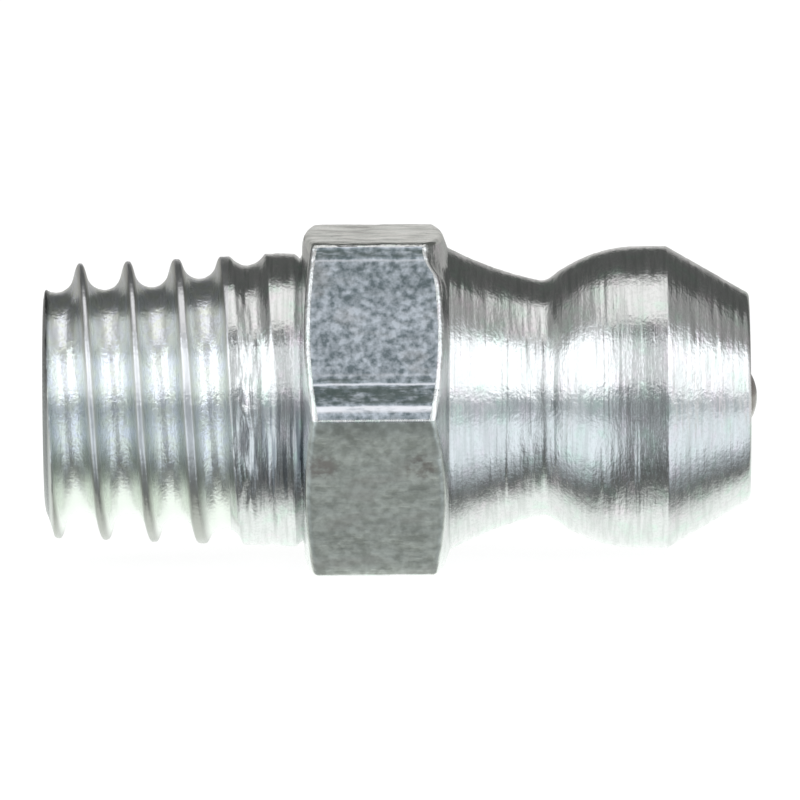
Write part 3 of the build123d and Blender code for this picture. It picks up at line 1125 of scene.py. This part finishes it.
class NIPPLE_OT_make_body(bpy.types.Operator):
    """Makes the plated body with its thread, hexagon, neck and head"""

    bl_idname = "nipple.make_body"
    bl_label = "Make body"

    def execute(self, context):
        scene = context.scene
        finish = scene.nipple_finish
        materials = [
            turned_zinc(finish),
            rolled_zinc(finish),
            # Painted shade and painted light: a darker and a lighter copy of the drawn plate for the flats,
            # the lighter one also smoother.
            drawn_zinc("zinc_on_flats_painted_shaded", finish, finish.flat_dark, finish.flat_zinc, 0.2, 0.34, 0.46),
            drawn_zinc("zinc_on_flats_painted_lit", finish, finish.flat_zinc, finish.painted_lit_flat, 0.2, 0.16, 0.26),
            lined_zinc("zinc_on_lined_flat", finish),
            plain_steel("bored_steel", finish.bore_steel, (0.05, 0.8, 0.8), 0.35, 0.55, 0.004),
        ]
        mesh = body_skin(scene.nipple_surface)
        make_piece("turned_body", mesh, materials, "body", "body")
        return {"FINISHED"}


class NIPPLE_OT_make_check_ball(bpy.types.Operator):
    """Makes the check ball that closes the inlet"""

    bl_idname = "nipple.make_check_ball"
    bl_label = "Make check ball"

    def execute(self, context):
        low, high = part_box("check_ball")
        steel = context.scene.nipple_finish.ball_steel
        material = plain_steel("polished_ball_steel", steel, (0.12, 0.12, 0.12), 0.16, 0.3, 0.001)
        mesh = ball_shell((low + high) / 2, (high.x - low.x) / 2)
        make_piece("steel_ball", mesh, [material], "check_ball", "check_ball")
        return {"FINISHED"}


class NIPPLE_OT_make_spring(bpy.types.Operator):
    """Makes the spring that holds the ball closed"""

    bl_idname = "nipple.make_spring"
    bl_label = "Make spring"

    def execute(self, context):
        low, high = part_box("spring")
        steel = context.scene.nipple_finish.spring_steel
        material = plain_steel("spring_wire_steel", steel, (0.05, 0.05, 0.05), 0.25, 0.4, 0.001)
        mesh = wire_along(coil_path(low.x + WIRE_R, high.x - WIRE_R), WIRE_SHARE * WIRE_R)
        piece = make_piece("round_wire_spring", mesh, [material], "body", "spring")
        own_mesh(piece)
        return {"FINISHED"}


class NIPPLE_OT_make_stage(bpy.types.Operator):
    """Makes the table, the soft light and the camera"""

    bl_idname = "nipple.make_stage"
    bl_label = "Make stage"

    def execute(self, context):
        scene = context.scene
        scene.view_settings.view_transform = "Standard"
        table = table_top(scene.nipple_studio)
        studio_light(scene)
        scene.camera = long_camera(scene.nipple_studio)
        scene.collection.objects.link(scene.camera)
        return {"FINISHED"}


class NIPPLE_PT_maker(bpy.types.Panel):
    """Buttons and settings for the nipple"""

    bl_label = "Grease Nipple"
    bl_space_type = "VIEW_3D"
    bl_region_type = "UI"
    bl_category = "Nipple"

    def draw(self, context):
        for operator in OPERATORS:
            self.layout.operator(operator.bl_idname)
        for group in SETTINGS:
            box = self.layout.box()
            settings = getattr(context.scene, group)
            for name in settings.__annotations__:
                box.prop(settings, name)


SETTINGS = {"nipple_surface": NippleSurface, "nipple_finish": NippleFinish, "nipple_studio": NippleStudio}
OPERATORS = (NIPPLE_OT_make_body, NIPPLE_OT_make_check_ball, NIPPLE_OT_make_spring, NIPPLE_OT_make_stage)


def register():
    for new_class in (*SETTINGS.values(), *OPERATORS, NIPPLE_PT_maker):
        bpy.utils.register_class(new_class)
    for group, settings in SETTINGS.items():
        setattr(bpy.types.Scene, group, PointerProperty(type=settings))


def unregister():
    for group in SETTINGS:
        delattr(bpy.types.Scene, group)
    for old_class in (NIPPLE_PT_maker, *OPERATORS, *SETTINGS.values()):
        bpy.utils.unregister_class(old_class)


def main():
    register()
    bpy.ops.nipple.make_stage()
    bpy.ops.nipple.make_body()
    bpy.ops.nipple.make_check_ball()
    bpy.ops.nipple.make_spring()


if __name__ == "__main__":
    main()
